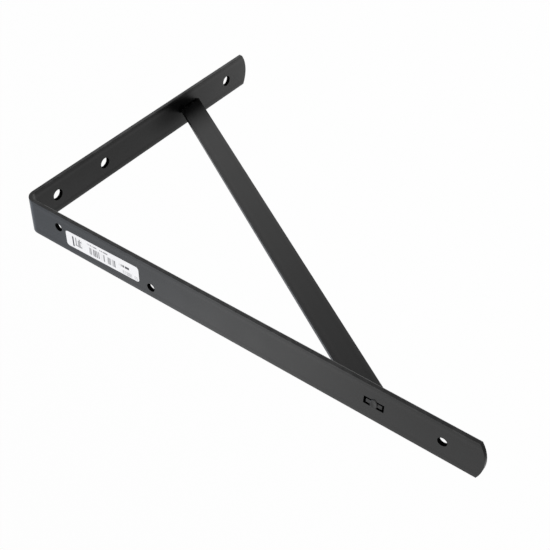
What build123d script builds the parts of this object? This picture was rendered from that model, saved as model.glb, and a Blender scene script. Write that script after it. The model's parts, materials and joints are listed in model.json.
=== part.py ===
from build123d import *
from math import hypot
import os

os.makedirs("parts", exist_ok=True)

# A braced shelf bracket. One flat steel bar is bent to a right angle, and a narrower bar runs
# across the corner as a brace. The brace lies with its wide faces in the plane of the angle,
# halfway across the width of the bar, and a tenon at each of its ends goes through a slot
# in the arm and is staked over on the outside. A paper label is stuck on the shelf arm.
#
# Frame: the bracket as it is used, in millimetres. The wall is the plane X = 0, +X points out
# of the wall along the shelf arm, +Z is up and Y runs across the bar from its middle.
# The origin lies on the wall face, halfway between the two upper wall screws.

# the angled bar
shelf_arm_length = 400.0      # from the wall plane to the tip of the shelf arm
wall_arm_length = 280.0       # from the shelf plane to the tip of the wall arm
bar_width = 31.9              # both with their coat
bar_thickness = 3.3
bend_inside_radius = 6.35
bar_edge_radius = 0.4         # rolled edges of the bar
end_arc_radius = 30.0         # both arms end in the same cropped arc
end_arc_offset = -1.9         # centre of that arc, sideways from mid width

# screw holes in the wall arm, measured down from the shelf plane
wall_hole_radius = 4.75
wall_hole_drop = 31.7
wall_hole_pitch = 54.5

# screw holes in the shelf arm, measured out from the wall plane and sideways
shelf_hole_radius = 3.5
near_hole_reach = 36.0
near_hole_side = 3.7
middle_hole_reach = 128.5
middle_hole_side = -6.4

# the last hole of each arm, measured back from its tip
end_hole_setback = 29.6

# the brace and its slots
brace_width = 20.7
brace_thickness = 3.3
brace_edge_radius = 0.4
shelf_slot_setback = 80.2     # slot centre, back from the tip of the shelf arm
wall_slot_setback = 81.4      # slot centre, back from the tip of the wall arm
slot_length = 15.4
slot_width = 6.6
slot_corner_radius = 0.6
tenon_side_gap = 0.2          # from each end of the tenon to that of its slot
tenon_recess = 0.25           # end of the tenon below the outer face
tenon_lead = 1.5              # broken corners that lead the tenon into its slot

# the staked middle of each tenon, spread over the long edges of its slot
stake_length = 5.6
stake_width = 8.8
stake_height = 0.5            # above the outer face
stake_depth = 0.6             # coined into the outer face
stake_neck_length = 4.4       # spread metal inside the slot, along the arm
stake_neck_depth = 1.8        # and below the outer face
stake_crown_radius = 0.45
stake_clearance = 0.05

# the label on the shelf arm
label_length = 73.7
label_width = 14.2
label_thickness = 0.12
label_corner_radius = 2.5
label_reach = 80.45
label_side = -1.2
label_tilt = 1.1

# how far a cutting shape runs past what it cuts
cut_margin = 2.0

# where the shelf plane lies above the origin, the two slots, and the inner faces of the arms
shelf_plane = wall_hole_drop + wall_hole_pitch / 2
shelf_slot_reach = shelf_arm_length - shelf_slot_setback
wall_slot_drop = wall_arm_length - wall_slot_setback
wall_inner = bar_thickness
shelf_inner = shelf_plane - bar_thickness


def on_wall_arm(drop, side=0.0):
    """Plane on the wall face, its local x towards the arm's tip and its normal out of the face."""
    return Plane(origin=(0, side, shelf_plane - drop), x_dir=(0, 0, -1), z_dir=(-1, 0, 0))


def on_shelf_arm(reach, side=0.0):
    """Plane on the shelf face, its local x towards the arm's tip and its normal out of the face."""
    return Plane(origin=(reach, side, shelf_plane), x_dir=(1, 0, 0), z_dir=(0, 0, 1))


def round_cut(radius):
    """Cylinder about a plane's normal, long enough to go through the bar from its outer face."""
    return Cylinder(radius, 2 * (bar_thickness + cut_margin))


def end_crop():
    """What is cropped off the end of an arm, seen from the centre of its arc."""
    offcut = Box(
        end_arc_radius + cut_margin,
        2 * (bar_width + cut_margin),
        2 * bar_thickness + cut_margin,
        align=(Align.MIN, Align.CENTER, Align.CENTER),
    )
    return offcut - round_cut(end_arc_radius)


def slot():
    """Slot for a tenon, with the shallow seat that the staked metal is coined into."""
    through = RectangleRounded(slot_length, slot_width, slot_corner_radius)
    seat = Ellipse(stake_length / 2 + stake_clearance, stake_width / 2 + stake_clearance)
    return extrude(through, bar_thickness + cut_margin, both=True) + extrude(seat, stake_depth, both=True)


def angled_bar():
    middle = bar_thickness / 2
    tip_down = (middle, 0, shelf_plane - wall_arm_length)
    corner = (middle, 0, shelf_plane - middle)
    tip_out = (shelf_arm_length, 0, shelf_plane - middle)
    path = FilletPolyline(tip_down, corner, tip_out, radius=bend_inside_radius + middle)
    section = Plane(origin=tip_down, x_dir=(1, 0, 0), z_dir=(0, 0, 1))
    bar = sweep(section * RectangleRounded(bar_thickness, bar_width, bar_edge_radius), path)

    # the cropped arcs at the two tips
    bar -= on_wall_arm(wall_arm_length - end_arc_radius, end_arc_offset) * end_crop()
    bar -= on_shelf_arm(shelf_arm_length - end_arc_radius, end_arc_offset) * end_crop()

    # the screw holes
    wall_holes = (
        wall_hole_drop,
        wall_hole_drop + wall_hole_pitch,
        wall_arm_length - end_hole_setback,
    )
    for drop in wall_holes:
        bar -= on_wall_arm(drop) * round_cut(wall_hole_radius)
    shelf_holes = (
        (near_hole_reach, near_hole_side),
        (middle_hole_reach, middle_hole_side),
        (shelf_arm_length - end_hole_setback, 0),
    )
    for reach, side in shelf_holes:
        bar -= on_shelf_arm(reach, side) * round_cut(shelf_hole_radius)

    # the slots for the brace
    bar -= on_wall_arm(wall_slot_drop) * slot()
    bar -= on_shelf_arm(shelf_slot_reach) * slot()
    return bar


def staked_tenon():
    """Tenon from the inner face of an arm to just below its outer face, with its staked head."""
    tenon = Pos(0, 0, -tenon_recess) * Box(
        slot_length - 2 * tenon_side_gap,
        brace_thickness,
        bar_thickness - tenon_recess,
        align=(Align.CENTER, Align.CENTER, Align.MAX),
    )
    outer_corners = tenon.edges().filter_by(Axis.Y).sort_by(Axis.Z)[-2:]
    tenon = chamfer(outer_corners, tenon_lead)
    neck = Pos(0, 0, -stake_depth) * Box(
        stake_neck_length,
        slot_width - 2 * stake_clearance,
        stake_neck_depth - stake_depth,
        align=(Align.CENTER, Align.CENTER, Align.MAX),
    )
    button = Ellipse(stake_length / 2, stake_width / 2)
    head = Pos(0, 0, -stake_depth) * extrude(button, stake_depth + stake_height)
    crown = head.faces().sort_by(Axis.Z)[-1].edges()
    return tenon + neck + fillet(crown, stake_crown_radius)


def diagonal_brace():
    # the axis of the brace goes through the middle of both slots, halfway through the bar
    foot = (bar_thickness / 2, shelf_plane - wall_slot_drop)
    top = (shelf_slot_reach, shelf_plane - bar_thickness / 2)
    run = top[0] - foot[0]
    rise = top[1] - foot[1]
    span = hypot(run, rise)

    # each long edge of the brace runs from the inner face of one arm to that of the other
    corners = []
    for side in (-1, 1):
        edge_x = foot[0] - side * brace_width / 2 * rise / span
        edge_z = foot[1] + side * brace_width / 2 * run / span
        at_wall = (wall_inner, edge_z + (wall_inner - edge_x) * rise / run)
        at_shelf = (edge_x + (shelf_inner - edge_z) * run / rise, shelf_inner)
        corners.append((at_wall, at_shelf))
    outline = Polyline(corners[0][0], corners[0][1], corners[1][1], corners[1][0], close=True)
    body = extrude(Plane.XZ * make_face(outline), brace_thickness / 2, both=True)
    long_edges = body.edges().sort_by(SortBy.LENGTH)[-4:]
    body = fillet(long_edges, brace_edge_radius)
    for place in (on_wall_arm(wall_slot_drop), on_shelf_arm(shelf_slot_reach)):
        body += place * staked_tenon()
    return body


def paper_label():
    place = on_shelf_arm(label_reach, label_side) * Rot(0, 0, label_tilt)
    return place * extrude(RectangleRounded(label_length, label_width, label_corner_radius), label_thickness)


export_step(angled_bar(), "parts/angled_bar.step")
export_step(diagonal_brace(), "parts/diagonal_brace.step")
export_step(paper_label(), "parts/paper_label.step")
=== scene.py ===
import json
import math

import bpy
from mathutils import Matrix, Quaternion, Vector


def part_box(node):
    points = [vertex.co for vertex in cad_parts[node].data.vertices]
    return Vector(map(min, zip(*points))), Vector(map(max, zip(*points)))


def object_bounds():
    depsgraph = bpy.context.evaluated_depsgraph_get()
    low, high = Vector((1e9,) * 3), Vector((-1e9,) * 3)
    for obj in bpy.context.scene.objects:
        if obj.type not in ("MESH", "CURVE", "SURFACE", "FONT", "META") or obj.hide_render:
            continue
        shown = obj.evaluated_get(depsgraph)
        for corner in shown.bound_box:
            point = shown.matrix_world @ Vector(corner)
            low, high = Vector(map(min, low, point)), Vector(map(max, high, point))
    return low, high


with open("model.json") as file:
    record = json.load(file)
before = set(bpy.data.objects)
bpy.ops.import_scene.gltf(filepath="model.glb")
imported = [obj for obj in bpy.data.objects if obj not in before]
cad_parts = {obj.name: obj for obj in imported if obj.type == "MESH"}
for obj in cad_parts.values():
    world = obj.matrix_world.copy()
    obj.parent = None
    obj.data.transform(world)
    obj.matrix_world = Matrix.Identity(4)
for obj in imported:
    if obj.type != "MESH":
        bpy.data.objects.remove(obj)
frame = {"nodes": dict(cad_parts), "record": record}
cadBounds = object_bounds()
mm = 0.001  # the frame is in metres, and small sizes below are easier to read in millimetres

# The bracket hangs as on its wall: x runs out along the shelf arm, z is up, y runs across the bar.
print("bracket loaded:", ", ".join(sorted(frame["nodes"])))


# camera

camera = {
    "location": (0.50095, 0.49519, 0.44257),
    "aim": (0.19647, 0.0, -0.00218),
    "roll": 132.4,           # degrees, because the bracket lies on its side for its portrait
    "lens": 64.92,
}


def makeCamera():
    data = bpy.data.cameras.new("camera")
    data.lens = camera["lens"]
    obj = bpy.data.objects.new("camera", data)
    obj.location = camera["location"]
    look = (Vector(camera["aim"]) - Vector(camera["location"])).to_track_quat("-Z", "Y")
    obj.rotation_mode = "QUATERNION"
    obj.rotation_quaternion = look @ Quaternion((0, 0, 1), -math.radians(camera["roll"]))
    bpy.context.scene.collection.objects.link(obj)
    bpy.context.scene.camera = obj


bpy.context.scene.view_settings.view_transform = "Standard"
makeCamera()
print("camera set")


# shader maths: a Wire is one socket, and plain expressions on Wires add their nodes

class Wire:
    def __init__(self, tree, socket=None):
        self.tree = tree
        self.socket = socket

    # any node: its type, its settings, the values or links of its sockets, and which output is kept
    def add(self, kind, settings=None, sockets=None, out=0):
        node = self.tree.nodes.new("ShaderNode" + kind)
        for name, value in (settings or {}).items():
            setattr(node, name, value)
        for name, value in (sockets or {}).items():
            if isinstance(value, Wire):
                self.tree.links.new(value.socket, node.inputs[name])
            else:
                node.inputs[name].default_value = value
        return Wire(self.tree, node.outputs[out] if node.outputs else None)

    def math(self, operation, *values):
        return self.add("Math", {"operation": operation}, dict(enumerate(values)))

    # this Wire is the share of the second colour; the node's colours are its inputs 6 and 7
    def mix(self, first, second):
        return self.add("Mix", {"data_type": "RGBA"}, {0: self, 6: first, 7: second}, out=2)

    def ramp(self, low, high, lowest=0.0, highest=1.0):  # smooth step from lowest to highest
        sockets = {"Value": self, "From Min": low, "From Max": high, "To Min": lowest, "To Max": highest}
        return self.add("MapRange", {"interpolation_type": "SMOOTHSTEP"}, sockets)

    def noise(self, scale, detail, roughness):
        sockets = {"Vector": self, "Scale": scale, "Detail": detail, "Roughness": roughness}
        return self.add("TexNoise", None, sockets)

    def times(self, other):  # for a vector or a colour, each of its numbers by its own
        return self.add("VectorMath", {"operation": "MULTIPLY"}, {0: self, 1: other})

    def distance(self, centre):
        return self.add("VectorMath", {"operation": "DISTANCE"}, {0: self, 1: centre}, out="Value")

    @property
    def x(self):
        return self.add("SeparateXYZ", None, {0: self}, out="X")

    @property
    def y(self):
        return self.add("SeparateXYZ", None, {0: self}, out="Y")

    @property
    def z(self):
        return self.add("SeparateXYZ", None, {0: self}, out="Z")

    def __add__(self, other):
        return self.math("ADD", self, other)

    def __radd__(self, other):
        return self.math("ADD", other, self)

    def __sub__(self, other):
        return self.math("SUBTRACT", self, other)

    def __rsub__(self, other):
        return self.math("SUBTRACT", other, self)

    def __mul__(self, other):
        return self.math("MULTIPLY", self, other)

    def __rmul__(self, other):
        return self.math("MULTIPLY", other, self)

    def __truediv__(self, other):
        return self.math("DIVIDE", self, other)

    def __rtruediv__(self, other):
        return self.math("DIVIDE", other, self)

    def __lt__(self, other):
        return self.math("LESS_THAN", self, other)

    def __gt__(self, other):
        return self.math("GREATER_THAN", self, other)

    def __abs__(self):
        return self.math("ABSOLUTE", self)


noiseMiddle = 0.5  # what a noise node gives on average


def greatest(first, *others):
    for other in others:
        first = first.math("MAXIMUM", first, other)
    return first


def newMaterial(name):
    material = bpy.data.materials.new(name)
    material.use_nodes = True
    material.node_tree.nodes.clear()
    return material, Wire(material.node_tree)


def finishMaterial(wire, shader):
    wire.add("OutputMaterial", None, {"Surface": shader})


def placeOnPart(wire):  # in millimetres
    return wire.add("TexCoord", out="Object").times((1 / mm, 1 / mm, 1 / mm))


def paint(nodeName, material):
    mesh = frame["nodes"][nodeName]
    if not mesh.material_slots:
        mesh.data.materials.append(None)
    for slot in mesh.material_slots:
        slot.material = material


# floor, sky and lamps

stage = {
    "floorDrop": 0.65,       # below the lowest point of the bracket, which its wall holds up
    "floorSize": 40.0,
    "floorColor": (0.92, 0.92, 0.92, 1),
    "floorGlow": 0.95,       # share of the floor that stays white where the shadow falls
    "skyWhite": 1.0,         # what the camera and the gloss see
    "skyLight": 0.75,        # what lights the bracket
    "coolSky": (0.82, 0.89, 1.0, 1),   # beyond the bend, where the gloss of the shelf arm sees it
    "coolFull": -0.55,       # full up to this x of the direction
    "coolNone": -0.48,       # and none from this one on
    "brightest": 1.2,        # beyond the bend too, times white
    "brightFull": -0.72,
    "brightNone": -0.54,
    "dimmest": 0.87,         # and a little dimmer the other way
    "dimNone": -0.35,
    "dimFull": -0.1,
}

# cards on the floor for the gloss, while the camera sees the floor white all over: the middle of each
# card, how far out it is even, where it ends, and how bright it is, times white
cards = {
    "right": {"at": (1.3, -0.45, 0), "even": 0.35, "end": 1.0, "bright": 0.0},
    "left": {"at": (-1.6, 1.6, 0), "even": 0.55, "end": 0.8, "bright": 0.0},
    "near": {"at": (0.2, 2.1, 0), "even": 0.5, "end": 1.3, "bright": 0.0},
    "bounceLeft": {"at": (-0.65, 0.6, 0), "even": 0.15, "end": 0.75, "bright": 1.25},
    "gap": {"at": (0.67, -0.66, 0), "even": 0.04, "end": 0.2, "bright": 0.7},
    "bounceRight": {"at": (0.45, -0.45, 0), "even": 0.08, "end": 0.26, "bright": 1.7},
}


def seenBy(wire, *rays):  # one for the named kinds of ray
    return greatest(*[wire.add("LightPath", out="Is %s Ray" % ray) for ray in rays])


def makeFloor():
    lowest = cadBounds[0].z - stage["floorDrop"]
    half = stage["floorSize"] / 2
    corners = [(-half, -half, lowest), (half, -half, lowest), (half, half, lowest), (-half, half, lowest)]
    mesh = bpy.data.meshes.new("floor")
    mesh.from_pydata(corners, [], [(0, 1, 2, 3)])
    floor = bpy.data.objects.new("floor", mesh)
    bpy.context.scene.collection.objects.link(floor)

    material, wire = newMaterial("floorPaint")
    matt = wire.add("BsdfDiffuse", None, {"Color": stage["floorColor"]})
    spot = wire.add("TexCoord", out="Object").times((1, 1, 0))
    gloss = stage["skyWhite"]
    for card in cards.values():
        gloss = gloss * spot.distance(card["at"]).ramp(card["even"], card["end"], card["bright"])
    eye = seenBy(wire, "Camera", "Transmission") * stage["skyWhite"]
    white = wire.add("Emission", None, {"Color": greatest(gloss, eye), "Strength": 1.0})
    glow = seenBy(wire, "Camera", "Glossy", "Transmission") * stage["floorGlow"]
    finishMaterial(wire, wire.add("MixShader", None, {0: glow, 1: matt, 2: white}))
    mesh.materials.append(material)


def makeSky():
    world = bpy.data.worlds.new("sky")
    world.use_nodes = True
    world.node_tree.nodes.clear()
    wire = Wire(world.node_tree)
    sideways = wire.add("TexCoord", out="Generated").x
    gloss = seenBy(wire, "Glossy")
    cool = sideways.ramp(stage["coolFull"], stage["coolNone"], 1.0, 0.0) * gloss
    dim = sideways.ramp(stage["dimNone"], stage["dimFull"], 1.0, stage["dimmest"])
    bright = sideways.ramp(stage["brightFull"], stage["brightNone"], stage["brightest"], 1.0)
    eye = seenBy(wire, "Camera", "Transmission") * stage["skyWhite"]
    light = greatest(gloss * dim * bright * stage["skyWhite"], eye, stage["skyLight"])
    color = cool.mix((1, 1, 1, 1), stage["coolSky"]).times(light)
    background = wire.add("Background", None, {"Color": color, "Strength": 1.0})
    wire.add("OutputWorld", None, {"Surface": background})
    bpy.context.scene.world = world


lamps = {
    "left": {"at": (-0.55, -1.15, 0.95), "size": 0.6, "watts": 0.95},
    "over": {"at": (0.6, 0.4, 1.9), "size": 1.8, "watts": 14},
}


def makeLamps():
    middle = (cadBounds[0] + cadBounds[1]) / 2
    for name, lamp in lamps.items():
        data = bpy.data.lights.new(name, "AREA")
        data.shape = "SQUARE"
        data.size = lamp["size"]
        data.energy = lamp["watts"]
        obj = bpy.data.objects.new(name, data)
        obj.location = lamp["at"]
        obj.rotation_mode = "QUATERNION"
        obj.rotation_quaternion = (middle - Vector(lamp["at"])).to_track_quat("-Z", "Y")
        bpy.context.scene.collection.objects.link(obj)


makeFloor()
makeSky()
makeLamps()
print("floor, sky and lamps set")


# powder coat of the bar and the brace; its lengths are in millimetres

powder = {
    "color": (0.0025, 0.0025, 0.0026, 1),
    "wornAndHighlit": (0.030, 0.030, 0.031, 1),      # along the arrises, where the coat is thin, and partly a painted highlight there
    "paintedHighlight": (0.065, 0.065, 0.065, 1),      # a painted highlight along the inner arris of the shelf arm
    "paintedShade": (0.0015, 0.0015, 0.0016, 1),   # painted shade: a dark matt colour for holes, slots and the corner by the brace
    "roughness": 0.36,
    "ior": 1.44,
    "wearFrom": 1.8,         # wear and painted highlight start this far in from the side
    "wearFull": 0.36,
    "wearNoise": (0.12, 4.0, 0.6),   # what breaks it up: humps per millimetre, detail, roughness
    "wearBreaks": (0.42, 0.62),      # no wear and full wear, as values of that noise
    "wearMost": 0.5,         # wear and painted highlight are nowhere more than this
    "wearGloss": 0.06,       # how much smoother a fully worn coat would be
    "patchNoise": (0.035, 3.0, 0.5),
    "patchiness": 0.05,      # how far the roughness wanders from patch to patch
    "peelNoise": (1 / 1.3, 1.0, 0.5),      # orange peel
    "peelHeight": 0.006,
    "grainNoise": (1 / 0.28, 2.0, 0.6),
    "grainHeight": 0.0016,
    "roundedEdge": 0.35,     # coat rounding over a cut edge
    "edgeSamples": 6,
    "fatEdgeInset": 2.8,     # the coat swells along the arrises: its crest, in from the side
    "fatEdgeWidth": 6.2,
    "fatEdgeHeight": 0.07,
}


# acrossOf gives the distance from the middle line, the fourth argument one where painted shade goes,
# marksOf a height to add and the last one where a painted highlight goes, all from the place on the part
def coat(name, halfWidth, acrossOf, shadeOf, marksOf=None, highlightOf=None):
    material, wire = newMaterial(name)
    place = placeOnPart(wire)
    across = abs(acrossOf(place))
    inFromSide = halfWidth - across

    # the coat pulls thin along the arrises, unevenly, and is lighter there, partly as wear and partly as a
    # painted highlight
    arris = across.ramp(halfWidth - powder["wearFrom"], halfWidth - powder["wearFull"])
    broken = place.noise(*powder["wearNoise"]).ramp(*powder["wearBreaks"])
    wornAndHighlitMask = arris * broken * powder["wearMost"]
    color = wornAndHighlitMask.mix(powder["color"], powder["wornAndHighlit"])
    # a painted highlight along an arris, where the function for it gives one
    if highlightOf:
        color = highlightOf(place).mix(color, powder["paintedHighlight"])

    patch = place.noise(*powder["patchNoise"]) - noiseMiddle
    roughness = powder["roughness"] + patch * (2 * powder["patchiness"]) - wornAndHighlitMask * powder["wearGloss"]

    peel = place.noise(*powder["peelNoise"]) * powder["peelHeight"]
    grain = place.noise(*powder["grainNoise"]) * powder["grainHeight"]
    rise = inFromSide.ramp(0.0, powder["fatEdgeInset"])
    swell = rise * inFromSide.ramp(powder["fatEdgeWidth"], powder["fatEdgeInset"])
    height = peel + grain + swell * powder["fatEdgeHeight"]
    if marksOf:
        height = height + marksOf(place)

    rounded = wire.add("Bevel", {"samples": powder["edgeSamples"]}, {"Radius": powder["roundedEdge"] * mm})
    normal = wire.add("Bump", None, {"Strength": 1.0, "Distance": mm, "Height": height, "Normal": rounded})
    shader = wire.add("BsdfPrincipled", None, {
        "Base Color": color,
        "Roughness": roughness,
        "IOR": powder["ior"],
        "Normal": normal,
    })
    # a dark matt shader for the painted shade in holes, slots and corners
    unlit = wire.add("BsdfPrincipled", None, {
        "Base Color": powder["paintedShade"],
        "Roughness": 1.0,
        "Specular IOR Level": 0.0,
    })
    finishMaterial(wire, wire.add("MixShader", None, {0: shadeOf(place), 1: shader, 2: unlit}))
    return material


# sizes that the coat follows, in millimetres, as in the solids of the bar and the brace
steel = {
    "thickness": 3.3,
    "braceWidth": 20.7,
    "slotReach": 319.8,      # middle of the slot in the shelf arm, out from the wall
    "slotDrop": 198.6,       # middle of the slot in the wall arm, down from the shelf plane
    "slotLength": 15.4,
    "slotWidth": 6.6,
    "headLength": 5.6,       # the staked head of each tenon, along its arm and across it
    "headWidth": 8.8,
}
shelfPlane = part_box("angled_bar")[1].z / mm
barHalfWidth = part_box("angled_bar")[1].y / mm
slotHeight = shelfPlane - steel["slotDrop"]


def acrossBar(place):
    return place.y


def acrossBrace(place):  # its axis goes through the middle of both slots, halfway through the bar
    foot = (steel["thickness"] / 2, slotHeight)
    top = (steel["slotReach"], shelfPlane - steel["thickness"] / 2)
    span = math.dist(foot, top)
    run = (top[0] - foot[0]) / span
    rise = (top[1] - foot[1]) / span
    return (place.z - foot[1]) * run - (place.x - foot[0]) * rise


# painted shade in holes and slots, a dark matt shader mixed into the coat
shade = {
    "lip": 0.1,              # how far it reaches past the edge of a hole or a slot
    "tenonTop": 0.4,         # the tenon is in it from this far below the outer face
}

# painted shade in the sharp corner between the brace and the wall arm, where the coat mixes into the dark
# matt shader
corner = {
    "across": 6.0,           # the middle of the painted shade on the wall arm
    "height": -120.0,
    "squeeze": 0.5,          # the patch is longer along the arm than across it
    "dull": 3.0,             # darkest up to here from its middle, across the arm, and then less
    "glossy": 24.0,          # and full gloss from here
    "onWall": 0.62,          # how much painted shade
    "below": (-149.0, -134.0),     # it ends between these heights, below the brace
    "contactShadow": (0, 3.0, -126.0),       # the middle of a painted contact shadow, right against the brace
    "contactFull": 3.0,          # darkest up to here from its middle
    "contactGone": 6.5,         # and gone from here
    "contactDepth": 0.95,
    "dullReach": 10.0,       # the painted shade along the brace, out from the wall
    "glossyReach": 48.0,
    "onBrace": 0.5,
}


def screwHoles():  # the middle of each hole, whether its axis is x or z, and its radius, from the record
    for mount in frame["record"]["mounts"]:
        middle = Vector(mount["pos_m"]) / mm
        dims = mount["dims"]
        alongX = abs(mount["axis"][0]) > abs(mount["axis"][2])
        if mount["kind"] == "bore":
            yield middle, alongX, dims["r_mm"]
        elif mount["kind"] == "bolt_pattern":
            for side in (-0.5, 0.5):  # the two holes of the pattern, one above the other
                yield middle + Vector((0, 0, side * dims["spacing_y_mm"])), alongX, dims["hole_r_mm"]


# painted shade on the inner face of the wall arm by the foot of the brace, with a painted contact shadow
# against it
def paintedShadeOnWall(place):
    middle = (0, corner["across"], corner["height"] * corner["squeeze"])
    away = place.times((0, 1, corner["squeeze"])).distance(middle)
    dull = away.ramp(corner["dull"], corner["glossy"], corner["onWall"], 0.0)
    fromContact = place.times((0, 1, 1)).distance(corner["contactShadow"])
    contactShadow = fromContact.ramp(corner["contactFull"], corner["contactGone"], corner["contactDepth"], 0.0)
    return greatest(dull * place.z.ramp(*corner["below"]), contactShadow) * (place.x > steel["thickness"] / 2)


def paintedShadeOfBar(place):  # painted shade: one on the walls of the holes and slots, and less in the corner by the brace
    shades = [paintedShadeOnWall(place)]
    for middle, alongX, radius in screwHoles():
        flat = (0, 1, 1) if alongX else (1, 1, 0)
        centre = [value * keep for value, keep in zip(middle, flat)]
        shades.append(place.times(flat).distance(centre) < radius + shade["lip"])
    narrow = abs(place.y) < steel["slotWidth"] / 2 + shade["lip"]
    halfLength = steel["slotLength"] / 2 + shade["lip"]
    for along in (abs(place.x - steel["slotReach"]), abs(place.z - slotHeight)):
        shades.append(narrow * (along < halfLength))
    return greatest(*shades)


def paintedShadeOfBrace(place):  # painted shade: one on the tenons, inside their slots, and less along the brace by the wall arm
    depth = shelfPlane - place.z
    onShelf = (depth > shade["tenonTop"]) * (depth < steel["thickness"])
    onWall = (place.x > shade["tenonTop"]) * (place.x < steel["thickness"])
    dull = place.x.ramp(corner["dullReach"], corner["glossyReach"], corner["onBrace"], 0.0)
    return greatest(onShelf, onWall, dull)


# the punch that staked the tenons left a shallow mark in the middle of each head
punch = {
    "depth": 0.2,            # millimetres
    "reach": 1.0,            # the mark is only on what lies this near the outer face
}


def marksOfPunch(place):
    along = 2 / steel["headLength"]
    wide = 2 / steel["headWidth"]
    onShelf = place.times((along, wide, 0)).distance((steel["slotReach"] * along, 0, 0))
    onWall = place.times((0, wide, along)).distance((0, 0, slotHeight * along))
    shelfMark = onShelf.ramp(0.0, 1.0, -punch["depth"], 0.0) * (place.z > shelfPlane - punch["reach"])
    wallMark = onWall.ramp(0.0, 1.0, -punch["depth"], 0.0) * (place.x < punch["reach"])
    return shelfMark + wallMark


# a painted highlight along the inner arrises of the shelf arm
highlightLine = {
    "height": 0.7,           # millimetres, up from the inner face
    "depth": 0.5,            # in from the side
    "from": 20.0,            # out from the wall, past the bend
}


def highlightOfBar(place):
    low = place.z < shelfPlane - steel["thickness"] + highlightLine["height"]
    outer = abs(place.y) > barHalfWidth - highlightLine["depth"]
    return low * outer * (place.x > highlightLine["from"])


barCoat = coat("barCoat", barHalfWidth, acrossBar, paintedShadeOfBar, highlightOf=highlightOfBar)
braceCoat = coat("braceCoat", steel["braceWidth"] / 2, acrossBrace, paintedShadeOfBrace, marksOf=marksOfPunch)
paint("angled_bar", barCoat)
paint("diagonal_brace", braceCoat)
print("powder coat painted")


# paper label, with generic bars and blocks for print

label = {
    "tilt": 1.1,             # degrees, as it was stuck on
    "paper": (0.86, 0.86, 0.88, 1),
    "ink": (0.055, 0.055, 0.065, 1),
    "roughness": 0.55,
    "roughnessSpread": 0.1,
    "fibreNoise": (1 / 0.35, 3.0, 0.65),   # humps per millimetre, detail, roughness
    "fibreHeight": 0.004,    # millimetres
}

# Fields of print, in millimetres from the middle of the label: along from and to, across from and to.
# A field is cut into steps, and each step draws a number from 0 to 1, which depends on its seed. Above
# "blank" it is inked, or where there is "solid" too, it is the darker the higher its number is.
# "share" is how dark the ink is at most, and "pitch" and "line" are those of a field of fine lines.
prints = {
    "thickBar": {"at": (-30.4, -28.9, -5.4, 4.2), "share": 1.0},
    "block": {"at": (-27.8, -20.6, -4.0, 4.4), "step": 1.3, "seeds": (5, 9), "blank": 0.8, "share": 0.65},
    "codeBars": {
        "at": (-13.0, 15.7, -4.9, 1.8), "step": 0.9, "seeds": (23,), "blank": 0.2, "share": 0.85,
        "solid": 0.85,
    },
    "smallRow": {"at": (-14.6, 6.6, 3.6, 4.9), "step": 0.7, "seeds": (3,), "blank": 0.35, "share": 0.7},
    "boldRow": {"at": (17.4, 27.4, -0.2, 2.0), "step": 0.8, "seeds": (41,), "blank": 0.12, "share": 1.0},
    "fineRows": {
        "at": (20.5, 35.4, -6.0, -2.4), "step": 0.9, "seeds": (77,), "blank": 0.2, "share": 0.9,
        "pitch": 1.2, "line": 0.35,
    },
}


def inside(along, across, edges):
    left, right, low, high = edges
    wide = abs(along - (left + right) / 2) < (right - left) / 2
    tall = abs(across - (low + high) / 2) < (high - low) / 2
    return wide * tall


def chance(wire, step, seed):  # a number from 0 to 1 for each step
    steps = wire / step
    cell = steps.math("FLOOR", steps) + seed
    return cell.add("TexWhiteNoise", {"noise_dimensions": "1D"}, {"W": cell})


def inkOf(field, along, across):
    ink = inside(along, across, field["at"]) * field["share"]
    if "seeds" in field:  # the first seed is for the steps along, and the second for those across
        number = sum(chance(way, field["step"], seed) for way, seed in zip((along, across), field["seeds"]))
        inked = number.ramp(field["blank"], field["solid"]) if "solid" in field else number > field["blank"]
        ink = ink * inked
    if "pitch" in field:
        lines = across / field["pitch"]
        ink = ink * (lines.math("FRACT", lines) < field["line"])
    return ink


def labelPaper():
    material, wire = newMaterial("labelPaper")
    place = placeOnPart(wire)
    lowest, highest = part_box("paper_label")
    middle = (lowest + highest) / 2 / mm
    turn = math.radians(label["tilt"])
    fromX = place.x - middle.x
    fromY = place.y - middle.y
    along = fromX * math.cos(turn) + fromY * math.sin(turn)
    across = fromY * math.cos(turn) - fromX * math.sin(turn)
    ink = sum(inkOf(field, along, across) for field in prints.values())

    fibre = place.noise(*label["fibreNoise"])
    height = fibre * label["fibreHeight"]
    normal = wire.add("Bump", None, {"Strength": 1.0, "Distance": mm, "Height": height})
    shader = wire.add("BsdfPrincipled", None, {
        "Base Color": ink.mix(label["paper"], label["ink"]),
        "Roughness": label["roughness"] + (fibre - noiseMiddle) * label["roughnessSpread"],
        "Normal": normal,
    })
    finishMaterial(wire, shader)
    return material


paint("paper_label", labelPaper())
print("label printed")
